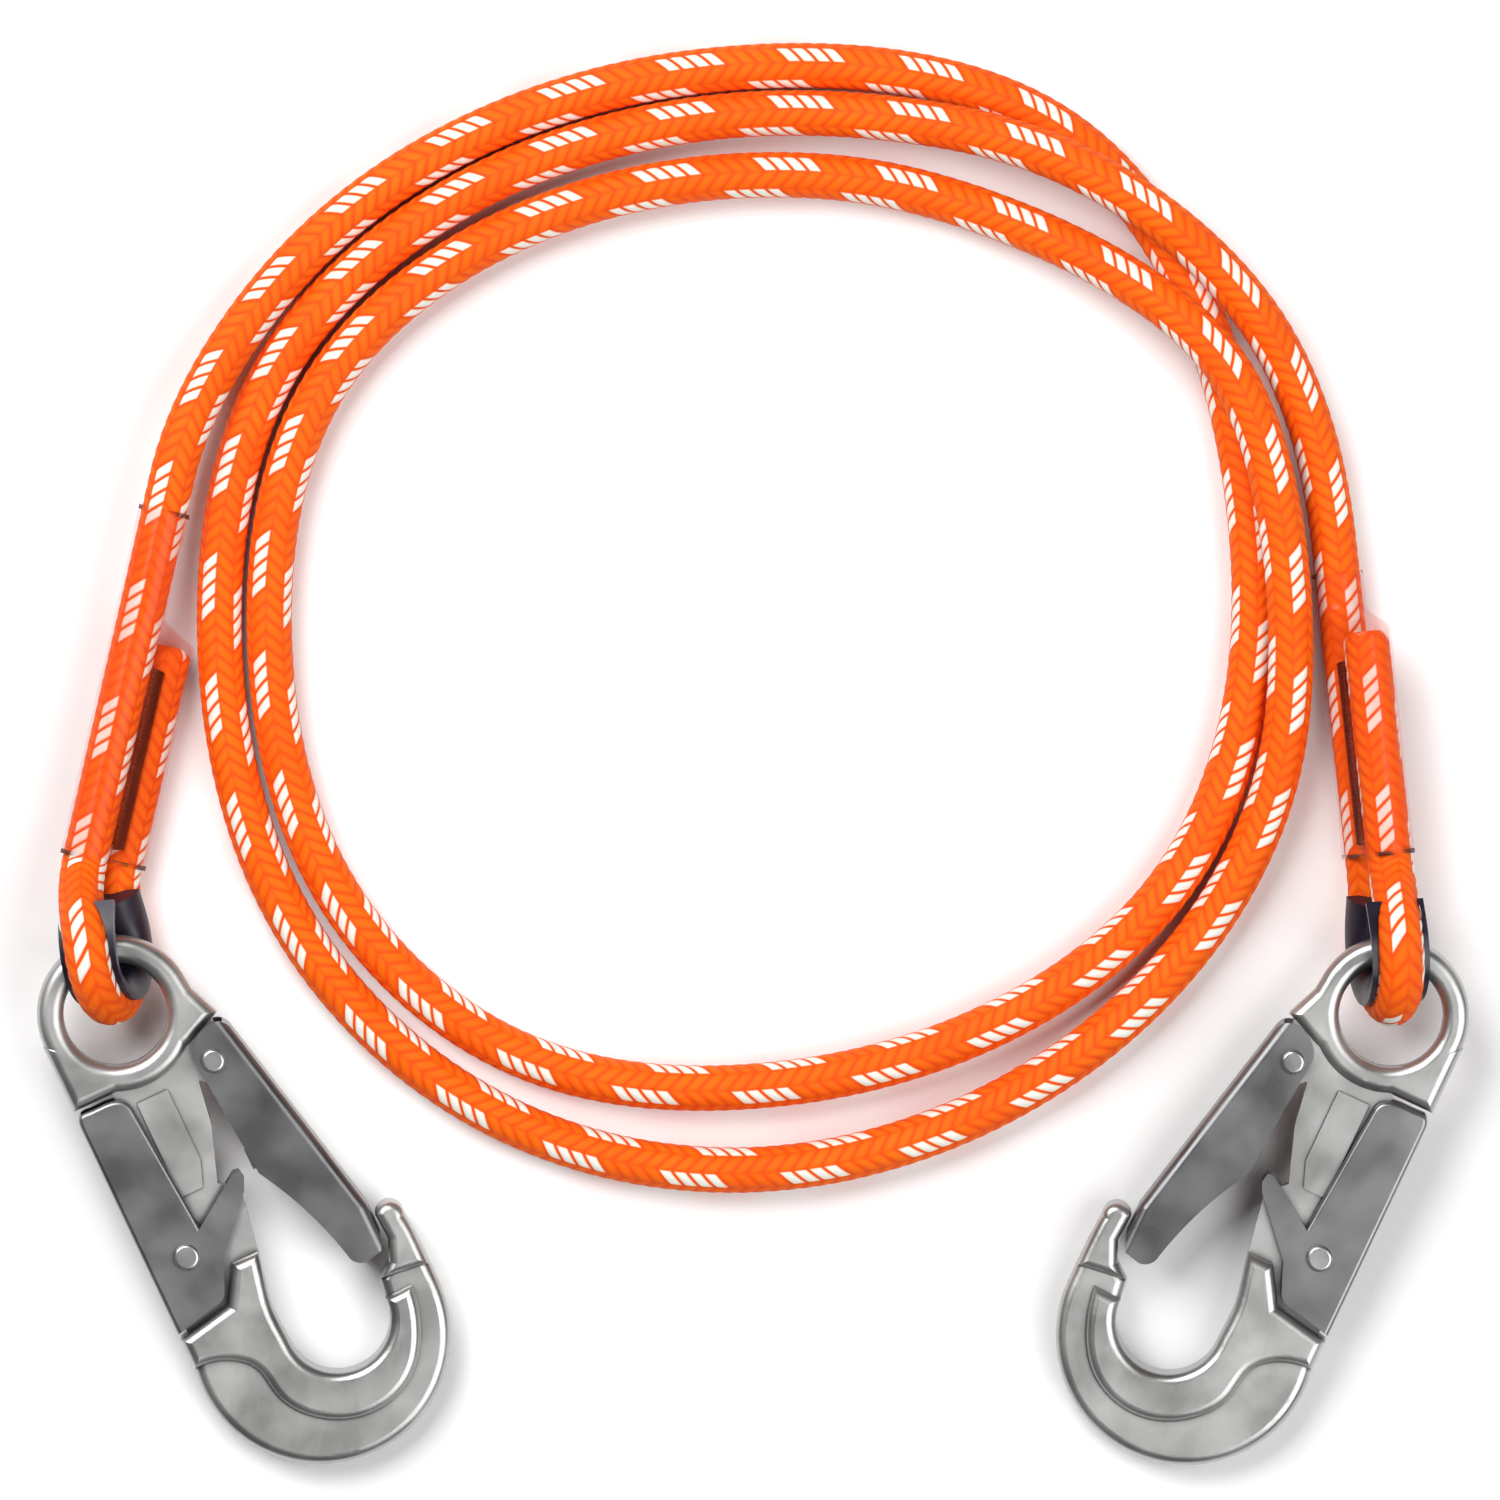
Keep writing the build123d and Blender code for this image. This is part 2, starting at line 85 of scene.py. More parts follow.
BEND_PIECE = 40 * MM  # length of coil in the piece of braid beside each sewn end
COIL_PIECES = 5
STRAIGHT_POINTS = 60  # points on a leg or on a bend beside the eye
ARC_POINTS = 80
SPAN_POINTS = 40  # points between two stations of the coil

# ---------------------------------------------------------------- hook sizes, from its eye centre
GATE_PIVOT = (-15.7, -18.6)  # only its direction from the eye is used
SPRING_Y = -27 * MM
SPRING_START = 5.9 * MM
SPRING_LENGTH = 10.4 * MM
SPRING_R = 1.7 * MM
SPRING_TURNS = 6
SPRING_WIRE_R = 0.35 * MM
SPRING_STEPS = 24  # points in a turn

# ---------------------------------------------------------------- braid
COLUMNS = 8  # strands seen side by side around the rope
RUNG = 3.4 * MM  # one strand after the next along a column
RELIEF = 0.32 * MM
CUT_ROUND = 2.5 * MM  # rope tails are heat-cut to a soft edge
CUT_SHRINK = 0.35  # share of the radius lost at the very end of a tail
SIDES = 64
RING_STEP = 0.5 * MM

# Rope stations of the coil: degrees, radius in mm, lift above the floor in mm.
COIL_STATIONS = [
    (150, 137.3, 3.6), (135, 134.8, 0.7), (120, 131.9, 0.1), (105, 130.1, 0), (90, 130.3, 0),
    (75, 133.0, 0), (60, 134.6, 0), (45, 129.2, 0), (30, 121.2, 0), (15, 115.0, 0), (0, 112.0, 0),
    (-30, 108.8, 0), (-60, 102.0, 0), (-90, 101.3, 0), (-120, 108.8, 0), (-150, 112.0, 0),
    (-180, 111.5, 0), (-210, 114.6, 0), (-240, 108.6, 0), (-270, 105.7, 0), (-285, 107.3, 0.3),
    (-300, 110.4, 2.4), (-315, 116.4, 7.5), (-330, 122.4, 11.2), (-345, 121.2, 9.4),
    (-360, 120.3, 7.2), (-375, 121.3, 3.3), (-390, 120.6, 0.4), (-405, 119.2, 0), (-420, 118.4, 0),
    (-450, 120.3, 0), (-480, 123.4, 0), (-510, 124.0, 0), (-540, 122.8, 0), (-570, 126.0, 0),
    (-585, 123.7, 0), (-600, 121.0, 0), (-615, 119.3, 0), (-630, 119.6, 0.4), (-645, 122.3, 3.6),
    (-660, 127.6, 9.4), (-675, 132.0, 11.4), (-690, 134.8, 4.4),
]


def unit(vector):
    """The vector at length one."""
    return vector / np.linalg.norm(vector)


# ---------------------------------------------------------------- curves
def hermite(start, end, start_slope, end_slope, t):
    """Cubic between two points with the given slopes, for t from 0 to 1."""
    return (start * (2 * t**3 - 3 * t**2 + 1) + end * (3 * t**2 - 2 * t**3)
            + start_slope * (t**3 - 2 * t**2 + t) + end_slope * (t**3 - t**2))


def bend_between(start, end, start_way, end_way):
    """Smooth curve between two points that leaves and arrives along the given directions."""
    chord = np.linalg.norm(end - start)
    t = np.linspace(0, 1, STRAIGHT_POINTS)[:, None]
    return hermite(start, end, unit(start_way) * chord, unit(end_way) * chord, t)


def spline_through(points, start_way, end_way):
    """Cubic curve through all points, with given end directions."""
    points = np.asarray(points)
    gaps = np.linalg.norm(np.diff(points, axis=0), axis=1)
    count = len(points)
    matrix = np.zeros((count, count))
    right = np.zeros((count, 3))
    matrix[0, 0] = matrix[-1, -1] = 1
    right[0] = unit(start_way)
    right[-1] = unit(end_way)
    for i in range(1, count - 1):
        before, after = gaps[i - 1], gaps[i]
        matrix[i, i - 1] = after
        matrix[i, i] = 2 * (before + after)
        matrix[i, i + 1] = before
        slope_before = (points[i] - points[i - 1]) / before
        slope_after = (points[i + 1] - points[i]) / after
        right[i] = 3 * (after * slope_before + before * slope_after)
    slopes = np.linalg.solve(matrix, right)
    t = np.linspace(0, 1, SPAN_POINTS, endpoint=False)[:, None]
    pieces = []
    for i, gap in enumerate(gaps):
        pieces.append(hermite(points[i], points[i + 1], slopes[i] * gap, slopes[i + 1] * gap, t))
    return np.vstack(pieces + [points[-1:]])


def resample(points, step):
    """The polyline again, at even steps."""
    length = np.concatenate([[0], np.cumsum(np.linalg.norm(np.diff(points, axis=0), axis=1))])
    keep = np.concatenate([[True], np.diff(length) > 1e-9])
    points, length = points[keep], length[keep]
    marks = np.linspace(0, length[-1], int(round(length[-1] / step)) + 1)
    even = np.stack([np.interp(marks, length, points[:, axis]) for axis in range(3)], axis=1)
    return even, marks


def frames_along(points):
    """Two directions across the curve at every point, carried along without twisting."""
    ways = np.gradient(points, axis=0)
    ways /= np.linalg.norm(ways, axis=1)[:, None]
    side = unit(np.cross(ways[0], UP))
    sides = [side]
    for way in ways[1:]:
        side = unit(side - way * (side @ way))
        sides.append(side)
    sides = np.array(sides)
    return sides, np.cross(ways, sides)


# ---------------------------------------------------------------- meshes
def new_mesh(name, points, faces, material):
    """A smooth-shaded mesh object."""
    mesh = bpy.data.meshes.new(name)
    mesh.from_pydata([tuple(p) for p in points], [], faces)
    mesh.polygons.foreach_set("use_smooth", [True] * len(mesh.polygons))
    mesh.materials.append(material)
    mesh.update()
    thing = bpy.data.objects.new(name, mesh)
    bpy.context.scene.collection.objects.link(thing)
    return thing


def grid_faces(rings, sides, offset=0, flip=False):
    """Quads that join closed rings of points."""
    faces = []
    for i in range(rings - 1):
        for j in range(sides):
            k = (j + 1) % sides
            quad = [offset + i * sides + j, offset + i * sides + k,
                    offset + (i + 1) * sides + k, offset + (i + 1) * sides + j]
            faces.append(quad[::-1] if flip else quad)
    return faces


def tube(name, points, radius, material):
    """A closed round wire along a polyline."""
    sides = WIRE_SIDES
    sides_way, ups_way = frames_along(points)
    turn = np.arange(sides) * 2 * math.pi / sides
    rings = (points[:, None, :] + radius * (np.cos(turn)[None, :, None] * sides_way[:, None, :]
                                            + np.sin(turn)[None, :, None] * ups_way[:, None, :]))
    count = len(points)
    faces = grid_faces(count, sides)
    faces.append(list(range(sides))[::-1])
    faces.append([(count - 1) * sides + j for j in range(sides)])
    return new_mesh(name, rings.reshape(-1, 3), faces, material)


# ---------------------------------------------------------------- colours, linear RGBA
ORANGE_DEEP = (1.0, 0.130, 0.001, 1)
ORANGE_LIGHT = (1.0, 0.165, 0.002, 1)
ORANGE_GAP_SHADE = (0.90, 0.075, 0.001, 1)  # painted shade between two strands
TRACER = (0.93, 0.90, 0.82, 1)
# painted shade between two white strands
TRACER_GAP_SHADE = (0.90, 0.55, 0.30, 1)
FILM_DEEP = (0.80, 0.050, 0.004, 1)
FILM_LIGHT = (0.95, 0.11, 0.02, 1)
# Dark cut ends of the film: painted shade along the edges, with some dirt.
FILM_DIRT_AND_SHADE = (0.03, 0.006, 0.002, 1)
FILM_CUT = (0.12, 0.020, 0.006, 1)
THREAD_DEEP = (0.010, 0.003, 0.002, 1)
THREAD_LIGHT = (0.028, 0.008, 0.005, 1)
PLASTIC_DEEP = (0.006, 0.004, 0.012, 1)
PLASTIC_LIGHT = (0.016, 0.011, 0.028, 1)
FLOOR_DULL = (0.86, 0.86, 0.86, 1)
FLOOR_CLEAN = (0.90, 0.90, 0.90, 1)
STEEL_SMEAR = 0.78  # share of the steel's brightness left under a smear
STEEL_CORNER_SHADE = 0.10  # and left in a corner, darkened as painted shade
# how far the painted shade in corners reaches
CORNER_SHADE_REACH = 2.5 * MM


# ---------------------------------------------------------------- material helpers
class Nodes:
    """A node material under construction, with short forms for the nodes used here."""

    def __init__(self, name):
        self.material = bpy.data.materials.new(name)
        self.material.use_nodes = True
        self.tree = self.material.node_tree
        self.surface = self.tree.nodes["Principled BSDF"]

    def add(self, kind, **settings):
        """A new node with its settings."""
        node = self.tree.nodes.new(kind)
        for key, value in settings.items():
            setattr(node, key, value)
        return node

    def link(self, source, target):
        self.tree.links.new(source, target)

    def plug(self, value, socket):
        """Links a node's output, or sets a plain value."""
        if isinstance(value, bpy.types.NodeSocket):
            self.link(value, socket)
        else:
            socket.default_value = value

    def math(self, operation, a, b=0.0, c=0.0):
        node = self.add("ShaderNodeMath", operation=operation)
        self.plug(a, node.inputs[0])
        self.plug(b, node.inputs[1])
        self.plug(c, node.inputs[2])
        return node.outputs[0]

    def noise(self, scale, detail=4.0, vector=None, stretch=None):
        node = self.add("ShaderNodeTexNoise")
        node.inputs["Scale"].default_value = scale
        node.inputs["Detail"].default_value = detail
        if vector is None:
            vector = self.add("ShaderNodeTexCoord").outputs["Object"]
        if stretch is not None:
            mapping = self.add("ShaderNodeMapping")
            mapping.inputs["Scale"].default_value = stretch
            self.link(vector, mapping.inputs["Vector"])
            vector = mapping.outputs["Vector"]
        self.link(vector, node.inputs["Vector"])
        return node.outputs[0]

    def span(self, value, low, high, new_low, new_high):
        """The value stretched from one range to another, and clamped to it."""
        node = self.add("ShaderNodeMapRange")
        self.plug(value, node.inputs["Value"])
        node.inputs["From Min"].default_value = low
        node.inputs["From Max"].default_value = high
        node.inputs["To Min"].default_value = new_low
        node.inputs["To Max"].default_value = new_high
        return node.outputs[0]

    def mix(self, share, a, b, blend="MIX"):
        node = self.add("ShaderNodeMix", data_type="RGBA", blend_type=blend)
        self.plug(share, node.inputs["Factor"])
        self.plug(a, node.inputs[6])
        self.plug(b, node.inputs[7])
        return node.outputs[2]

    def bump(self, height, strength, distance):
        node = self.add("ShaderNodeBump")
        node.inputs["Strength"].default_value = strength
        node.inputs["Distance"].default_value = distance
        self.link(height, node.inputs["Height"])
        self.link(node.outputs[0], self.surface.inputs["Normal"])

    def set(self, **values):
        """Plugs values into the surface; an underscore stands for a space."""
        for key, value in values.items():
            self.plug(value, self.surface.inputs[key.replace("_", " ")])


# ---------------------------------------------------------------- materials
def rope_cover():
    """Orange braid with white tracer strands; the braid map counts columns and rungs."""
    look = Nodes("rope_cover")
    uv = look.add("ShaderNodeUVMap", uv_map="braid").outputs[0]
    split = look.add("ShaderNodeSeparateXYZ")
    look.link(uv, split.inputs[0])
    around, along = split.outputs[0], split.outputs[1]
    column = look.math("FLOOR", around)
    across = look.math("FRACT", around)
    odd = look.math("MODULO", column, 2.0)
    lean = look.math("MULTIPLY_ADD", odd, 2.0, -1.0)
    strand = look.math("MULTIPLY_ADD", across, lean, along)
    shift = look.math("MULTIPLY", look.math("FLOOR", look.math("MULTIPLY", column, 0.5)), 2.0)
    number = look.math("FLOORED_MODULO", look.math("FLOOR", look.math("ADD", strand, shift)), 8.0)
    white = look.math("MULTIPLY", look.math("LESS_THAN", number, 4.0), look.math("LESS_THAN", odd, 0.5))
    middle = look.math("PINGPONG", strand, 0.5)
    edge = look.math("PINGPONG", around, 0.5)
    # Painted shade: depth falls to 0 in the gaps between strands and towards the column edges.
    depth = look.math("MULTIPLY", look.span(middle, 0.0, 0.30, 0.0, 1.0),
                      look.span(edge, 0.0, 0.16, 0.45, 1.0))
    rung = look.math("MULTIPLY", look.span(middle, 0.10, 0.17, 0.0, 1.0),
                     look.span(edge, 0.05, 0.11, 0.0, 1.0))
    white = look.math("MULTIPLY", white, rung)
    fibre_place = look.add("ShaderNodeCombineXYZ")
    look.link(look.math("MULTIPLY", strand, 9.0), fibre_place.inputs[0])
    look.link(look.math("MULTIPLY", around, 1.2), fibre_place.inputs[1])
    fibre = look.noise(scale=1.0, detail=3.0, vector=fibre_place.outputs[0])
    patch = look.noise(scale=60.0, detail=2.0)
    orange = look.mix(look.span(patch, 0.3, 0.7, 0.0, 1.0), ORANGE_DEEP, ORANGE_LIGHT)
    # Painted shade darkens the orange and the white in the gaps.
    orange = look.mix(depth, ORANGE_GAP_SHADE, orange)
    pale = look.mix(depth, TRACER_GAP_SHADE, TRACER)
    colour = look.mix(0.25, look.mix(white, orange, pale), fibre, blend="MULTIPLY")
    look.set(Base_Color=colour, Roughness=look.span(fibre, 0.3, 0.7, 0.55, 0.75))
    look.surface.inputs["Sheen Weight"].default_value = 0.02
    look.surface.inputs["Specular IOR Level"].default_value = 0.15
    look.bump(fibre, strength=0.35, distance=0.15 * MM)
    return look.material


def steel(name, colour, rough, grain, pits, shaded_corners=False):
    """Plated steel with drawn or forged grain and faint smears; painted shade can darken its corners."""
    look = Nodes(name)
    smear = look.noise(scale=70.0, detail=5.0)
    fine = look.noise(scale=grain, detail=4.0)
    dark = tuple(c * STEEL_SMEAR for c in colour) + (1,)
    tint = look.mix(look.span(smear, 0.35, 0.7, 0.0, 1.0), dark, colour + (1,))
    if shaded_corners:
        corner_shade = tuple(c * STEEL_CORNER_SHADE for c in colour) + (1,)
        # Painted shade: ambient occlusion darkens the colour in corners and crevices.
        corner = look.add("ShaderNodeAmbientOcclusion", samples=8)
        corner.inputs["Distance"].default_value = CORNER_SHADE_REACH
        tint = look.mix(look.span(corner.outputs["AO"], 0.35, 0.85, 0.0, 1.0), corner_shade, tint)
    look.set(Base_Color=tint, Metallic=0.92,
             Roughness=look.span(smear, 0.3, 0.75, rough - 0.07, rough + 0.1))
    look.bump(fine, strength=pits, distance=0.08 * MM)
    return look.material


def thimble_plastic():
    """Moulded black plastic with a faint violet tint."""
    look = Nodes("thimble_plastic")
    cloud = look.noise(scale=180.0, detail=3.0)
    tint = look.mix(cloud, PLASTIC_DEEP, PLASTIC_LIGHT)
    look.set(Base_Color=tint, Roughness=look.span(cloud, 0.3, 0.7, 0.28, 0.42))
    look.bump(look.noise(scale=2500.0, detail=2.0), strength=0.12, distance=0.05 * MM)
    return look.material


def shrink_film():
    """Clear heat-shrink film, slightly milky and wrinkled."""
    look = Nodes("shrink_film")
    wrinkle = look.noise(scale=240.0, detail=3.0, stretch=(1.0, 0.35, 1.0))
    tint = look.mix(wrinkle, FILM_DEEP, FILM_LIGHT)
    look.set(Base_Color=tint, Roughness=look.span(wrinkle, 0.3, 0.7, 0.14, 0.28),
             Alpha=look.span(wrinkle, 0.3, 0.7, 0.08, 0.15))
    look.surface.inputs["Coat Weight"].default_value = 0.25
    look.bump(wrinkle, strength=0.3, distance=0.3 * MM)
    return look.material


def film_edge():
    """Cut end of the film, coloured near black: painted shade along the edge, with some dirt."""
    look = Nodes("film_edge")
    dirt_and_shade = look.noise(scale=900.0, detail=3.0)
    patch = look.noise(scale=150.0, detail=1.0)
    # Painted shade with some dirt darkens the cut edge.
    tint = look.mix(dirt_and_shade, FILM_DIRT_AND_SHADE, FILM_CUT)
    look.set(Base_Color=tint, Roughness=look.span(dirt_and_shade, 0.3, 0.7, 0.4, 0.6),
             Alpha=look.span(patch, 0.44, 0.56, 0.05, 0.85))
    look.bump(dirt_and_shade, strength=0.3, distance=0.1 * MM)
    return look.material


def sewing_thread():
    """Dark twisted sewing thread."""
    look = Nodes("sewing_thread")
    twist = look.noise(scale=1800.0, detail=2.0, stretch=(1.0, 2.5, 1.0))
    tint = look.mix(twist, THREAD_DEEP, THREAD_LIGHT)
    look.set(Base_Color=tint, Roughness=look.span(twist, 0.3, 0.7, 0.5, 0.7))
    look.surface.inputs["Specular IOR Level"].default_value = 0.1
    look.bump(twist, strength=0.4, distance=0.1 * MM)
    return look.material


def pale_floor():
    """Plain, nearly white floor."""
    look = Nodes("pale_floor")
    cloud = look.noise(scale=3.0, detail=2.0)
    look.set(Base_Color=look.mix(cloud, FLOOR_DULL, FLOOR_CLEAN), Roughness=0.8)
    return look.material


# ---------------------------------------------------------------- where the rope ends lie
class RopeEnd:
    """Places and directions of one sewn end, taken from the frame's joints.

    Angles are given in degrees and lengths in mm. main is the side of the leg that comes from the coil,
    step is how far below the flex point the cut tail lies, and foot is where the two legs part.
    """

    def __init__(self, name, side, sleeve_roll, loop_lean, loop_roll, main, step, foot):
        self.name = name
        self.main = main
        self.step = step * MM
        self.foot = foot * MM
        flex = joints[f"{name}_rope_flex"]
        self.flex = np.array(flex["pos_m"])
        away = unit(np.cross(UP, np.array(flex["axis"])))
        self.up_rope = -away
        outward = side * np.array([self.up_rope[1], -self.up_rope[0], 0])
        roll = math.radians(sleeve_roll)
        self.across = outward * math.cos(roll) + UP * math.sin(roll)
        swing = joints[f"{name}_hook_swing"]
        self.eye = np.array(swing["pos_m"])
        self.through = unit(np.array(swing["axis"]))
        lean = math.radians(loop_lean)
        roll = math.radians(loop_roll)
        sideways = np.array([side * math.cos(lean), -math.sin(lean), 0])
        rise = np.array([side * math.sin(lean), math.cos(lean), 0])
        self.loop_up = unit(rise - self.through * (rise @ self.through))
        above = np.cross(sideways, self.loop_up) * side
        self.loop_across = unit(sideways * math.cos(roll) + above * math.sin(roll))
        self.bar = self.eye + self.loop_up * EYE_BAR_R

    def leg(self, distance, which):
        """Leg centre at a distance from the flex point: 1 main, 0 middle, -1 tail."""
        offset = (which - 1) / 2 * LEG_SPACING * self.main
        return self.flex - self.up_rope * distance + self.across * offset

    def path(self):
        """Rope centreline from the flex point around the eye to the cut tail."""
        down = -self.up_rope
        main_foot = self.leg(self.foot, 1)
        tail_foot = self.leg(self.foot, -1)
        main_side = self.bar + self.loop_across * EYE_ARC_R * self.main
        tail_side = self.bar - self.loop_across * EYE_ARC_R * self.main
        turn = np.linspace(0, math.pi, ARC_POINTS)[:, None]
        sideways = self.loop_across * self.main * np.cos(turn)
        arc = self.bar + EYE_ARC_R * (sideways - self.loop_up * np.sin(turn))
        return np.vstack([
            np.linspace(self.flex, main_foot, STRAIGHT_POINTS),
            bend_between(main_foot, main_side, down, -self.loop_up),
            arc,
            bend_between(tail_side, tail_foot, self.loop_up, -down),
            np.linspace(tail_foot, self.leg(self.step, -1), STRAIGHT_POINTS),
        ])


left = RopeEnd("left", side=-1, sleeve_roll=44, loop_lean=8, loop_roll=72, main=1, step=37, foot=88)
right = RopeEnd("right", side=1, sleeve_roll=65, loop_lean=-3, loop_roll=78, main=-1, step=21, foot=72.5)
ends = (left, right)


# ---------------------------------------------------------------- rope
def coil_points():
    """Centreline of the coil from the left flex point to the right one."""
    points = [left.flex]
    for angle, radius, lift in COIL_STATIONS:
        turn = math.radians(angle)
        points.append(np.array([COIL_CENTRE[0] + radius * MM * math.cos(turn),
                                COIL_CENTRE[1] + radius * MM * math.sin(turn),
                                ROPE_R + lift * MM]))
    points.append(right.flex)
    return spline_through(points, left.up_rope, -right.up_rope)


def braid_height(around, along):
    """Relief of the braid: 0 in the gaps, 1 on top of a strand. In columns and rungs."""
    column = np.floor(around)
    across = around - column
    lean = np.where(column % 2 < 1, -1.0, 1.0)
    strand = along + lean * across
    fullness, end_fullness, end_height = 0.6, 0.5, 0.35
    over = np.sin(math.pi * (strand - np.floor(strand)))
    end_dip = np.clip(np.sin(math.pi * across), 0, 1)
    return over**fullness * (end_height + (1 - end_height) * end_dip**end_fullness)


def add_braid_map(mesh, around, along):
    """Map that counts columns around the rope and rungs along it."""
    spans = len(along) - 1
    columns = np.concatenate([around, [COLUMNS]])
    corner_side = np.array([[0, 1, 1, 0]])
    corner_ring = np.array([[0, 0, 1, 1]])
    j = np.tile(np.arange(SIDES), spans)[:, None]
    i = np.repeat(np.arange(spans), SIDES)[:, None]
    uv = np.stack([columns[j + corner_side], along[i + corner_ring]], axis=2).reshape(-1, 2)
    flat = np.zeros((len(mesh.loops), 2))
    flat[:len(uv)] = uv
    mesh.uv_layers.new(name="braid").data.foreach_set("uv", flat.ravel())


def rope_piece(name, centre, marks, sides_way, ups_way, first, last, material):
    """Braided rope between two ring numbers, closed and rounded where the whole rope ends."""
    starts, stops = first == 0, last == len(centre) - 1
    pick = slice(first, last + 1)
    middle, along = centre[pick], marks[pick] / RUNG
    turn = np.arange(SIDES) * 2 * math.pi / SIDES
    around = np.arange(SIDES) * COLUMNS / SIDES
    nudge = 1e-6  # puts a point between two columns into the second one
    height = braid_height((around + nudge)[None, :], along[:, None])
    radius = ROPE_R - RELIEF * (1 - height)
    if starts or stops:
        from_cut = marks[pick] - marks[0] if starts else marks[-1] - marks[pick]
        flush = np.clip(from_cut / CUT_ROUND, 0, 1)
        radius *= (1 - CUT_SHRINK * (1 - flush) ** 2)[:, None]
    way = (np.cos(turn)[None, :, None] * sides_way[pick][:, None, :]
           + np.sin(turn)[None, :, None] * ups_way[pick][:, None, :])
    points = (middle[:, None, :] + radius[:, :, None] * way).reshape(-1, 3)
    rings = len(middle)
    faces = grid_faces(rings, SIDES)
    if starts:
        faces.append(list(range(SIDES))[::-1])
    if stops:
        faces.append([(rings - 1) * SIDES + j for j in range(SIDES)])
    rope = new_mesh(name, points, faces, material)
    add_braid_map(rope.data, around, along)
    return rope


def build_rope(material):
    """The whole rope from the left cut tail to the right one, in pieces that share one braid."""
    left_path = left.path()[::-1]
    coil = coil_points()
    right_path = right.path()
    centre, marks = resample(np.vstack([left_path, coil[1:], right_path[1:]]), RING_STEP)
    sides_way, ups_way = frames_along(centre)

    def ring_at(point):
        return int(np.argmin(np.linalg.norm(centre - point, axis=1)))

    left_flex, right_flex = ring_at(left.flex), ring_at(right.flex)
    sleeve_rings = int(round(SLEEVE_START / RING_STEP))
    bend_rings = int(round(BEND_PIECE / RING_STEP))
    cuts = {
        "left_eye_braid": (0, left_flex - sleeve_rings, "left_rope_end"),
        "left_bend_braid": (left_flex - sleeve_rings, left_flex + bend_rings, None),
        "right_bend_braid": (right_flex - bend_rings, right_flex + sleeve_rings, None),
        "right_eye_braid": (right_flex + sleeve_rings, len(centre) - 1, "right_rope_end"),
    }
    turns = np.linspace(left_flex + bend_rings, right_flex - bend_rings, COIL_PIECES + 1).astype(int)
    for number in range(COIL_PIECES):
        cuts[f"coil_braid_{number + 1}"] = (turns[number], turns[number + 1], "coil")
    shown = {}
    for name, (first, last, body) in cuts.items():
        shown[name] = rope_piece(name, centre, marks, sides_way, ups_way, first, last, material)
        if body:
            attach(shown[name], body)
    for end in ends:
        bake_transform(shown[f"{end.name}_bend_braid"])
        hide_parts(f"{end.name}_eye_rope")
    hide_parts("rope_coil")


# ---------------------------------------------------------------- sleeve and stitching
def sleeve_ring(end, distance, radius):
    """Closed ring around the rope, or around both legs below the cut tail."""
    taper = np.clip((distance - end.step + SLEEVE_TAPER) / SLEEVE_TAPER, 0, 1)
    both = taper * taper * (3 - 2 * taper)
    turn = np.arange(FILM_SIDES) * 2 * math.pi / FILM_SIDES
    flatness = 4
    spread = np.tanh(np.cos(turn) * flatness) / math.tanh(flatness)
    half = LEG_SPACING / 2 * both
    pinch = 0.16
    waist = 1 - pinch * both * (1 - np.abs(spread)) ** 2
    centre = end.leg(distance, 1) - end.across * end.main * half
    normal = np.cross(end.up_rope, end.across)
    x = radius * np.cos(turn) + half * spread
    y = radius * np.sin(turn) * waist
    return centre + x[:, None] * end.across + y[:, None] * normal


def film_rings(end):
    """Outer and inner rings of the film, the outer ones wrinkled."""
    distances = np.arange(SLEEVE_START, end.foot + FILM_STEP / 2, FILM_STEP)
    wave = rng.normal(0, 1, (len(distances), FILM_SIDES))
    for _ in range(FILM_SMOOTHING):
        wave = (wave + np.roll(wave, 1, 1) + np.roll(wave, -1, 1)) / 3
        wave[1:-1] = (wave[1:-1] + wave[:-2] + wave[2:]) / 3
    outer, inner = [], []
    for number, distance in enumerate(distances):
        wrinkle = (FILM + FILM_WRINKLE * wave[number])[:, None]
        base = sleeve_ring(end, distance, ROPE_R + FILM_GAP)
        skin = sleeve_ring(end, distance, ROPE_R + FILM_GAP + FILM)
        inner.append(base)
        outer.append(base + (skin - base) / FILM * wrinkle)
    return outer, inner


def build_sleeve(end, material, edge_material):
    """Thin clear film over the sewn part, open at both ends."""
    outer, inner = film_rings(end)
    sides = FILM_SIDES
    rings = len(outer)
    inside = rings * sides
    last = (rings - 1) * sides
    faces = grid_faces(rings, sides, flip=True) + grid_faces(rings, sides, inside)
    for j in range(sides):
        k = (j + 1) % sides
        faces.append([j, k, inside + k, inside + j])
        faces.append([last + k, last + j, inside + last + j, inside + last + k])
    film = new_mesh(f"{end.name}_clear_sleeve", np.vstack(outer + inner), faces, material)
    film.data.materials.append(edge_material)
    # The outer end rings and the cut faces take the dark edge colour: painted shade with some dirt.
    for number, face in enumerate(film.data.polygons):
        end_ring = number < sides or last - sides <= number < last
        if end_ring or number >= 2 * last:
            face.material_index = 1
    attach(film, f"{end.name}_rope_end")
    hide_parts(f"{end.name}_shrink_sleeve")


